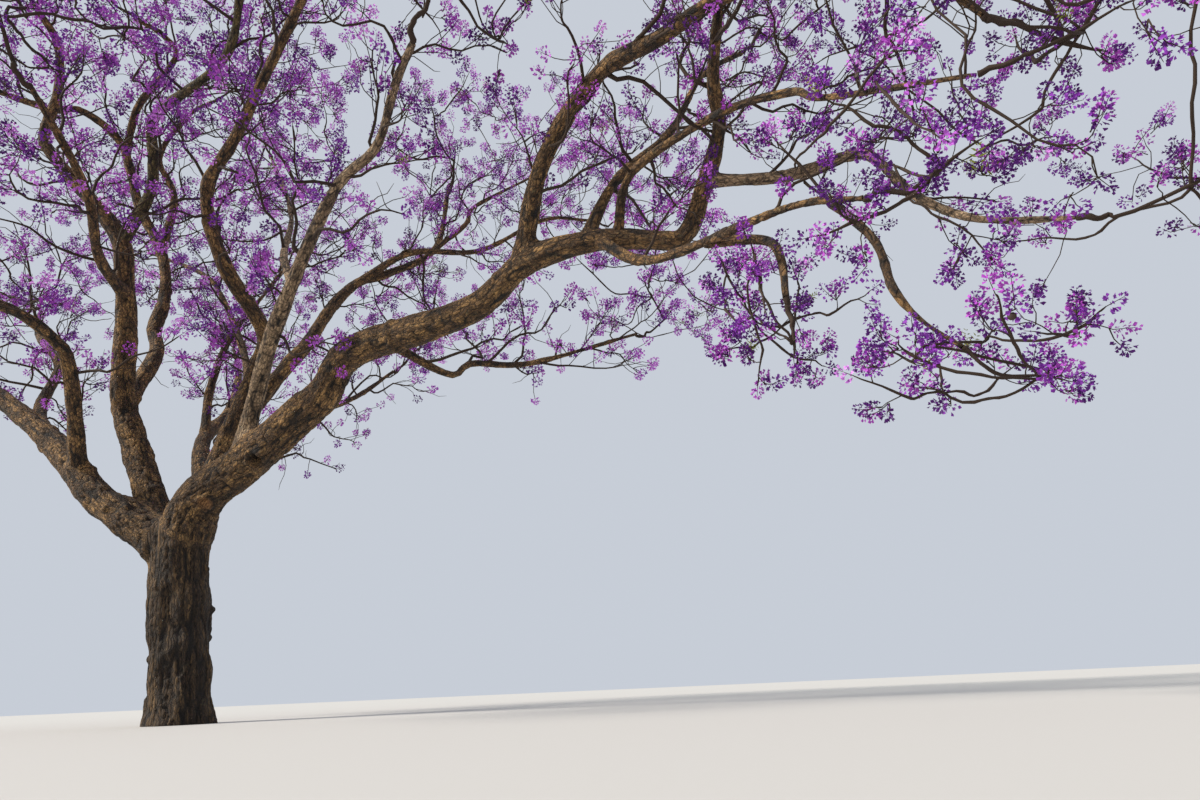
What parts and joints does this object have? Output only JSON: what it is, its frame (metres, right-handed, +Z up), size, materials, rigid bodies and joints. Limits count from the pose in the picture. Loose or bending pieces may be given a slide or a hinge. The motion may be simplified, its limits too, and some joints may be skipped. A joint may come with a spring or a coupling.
{
  "type": "jacaranda tree",
  "caption": "Spreading jacaranda tree in full violet blossom, nearly leafless, with a short leaning trunk, crooked boughs and an open umbrella-shaped crown.",
  "frame": {"origin": "centre of the trunk's flat cut at ground level", "axes": "+Z up; the picture looks at the tree along +Y from the -Y side; +X to the right, along the long arm of the crown"},
  "size_m": [18.7092, 14.03, 11.7962],
  "materials": {
    "bark": "rough",
    "blossom": "soft"
  },
  "bodies": {
    "root": {"trunk": "bark", "big_bough": "bark", "left_bough": "bark", "middle_bough": "bark", "dark_riser": "bark", "back_bough": "bark", "arch_bough": "bark", "elbow_riser": "bark", "pale_riser": "bark", "inner_left": "bark", "shoulder_bough": "bark", "left_riser": "bark", "mossy_riser": "bark", "inner_left_riser": "bark", "inner_middle": "bark", "crook_branch": "bark", "pale_side": "bark", "shoulder_side": "bark", "right_reach": "bark", "arc_branch": "bark", "low_reach": "bark", "drooper": "bark", "stub_drooper": "bark", "under_branch": "bark", "back_left": "bark", "back_right": "bark", "back_high": "bark", "high_right": "bark", "shoulder_reach": "bark", "top_right": "bark", "front_left": "bark", "left_bough_blossom": "blossom", "middle_bough_blossom": "blossom", "dark_riser_blossom": "blossom", "back_bough_blossom": "blossom", "arch_bough_blossom": "blossom", "elbow_riser_blossom": "blossom", "pale_riser_blossom": "blossom", "inner_left_blossom": "blossom", "shoulder_bough_blossom": "blossom", "left_riser_blossom": "blossom", "mossy_riser_blossom": "blossom", "inner_left_riser_blossom": "blossom", "inner_middle_blossom": "blossom", "crook_branch_blossom": "blossom", "pale_side_blossom": "blossom", "shoulder_side_blossom": "blossom", "right_reach_blossom": "blossom", "arc_branch_blossom": "blossom", "low_reach_blossom": "blossom", "drooper_blossom": "blossom", "stub_drooper_blossom": "blossom", "under_branch_blossom": "blossom", "back_left_blossom": "blossom", "back_right_blossom": "blossom", "back_high_blossom": "blossom", "high_right_blossom": "blossom", "shoulder_reach_blossom": "blossom", "top_right_blossom": "blossom", "front_left_blossom": "blossom"}
  },
  "joints": []
}
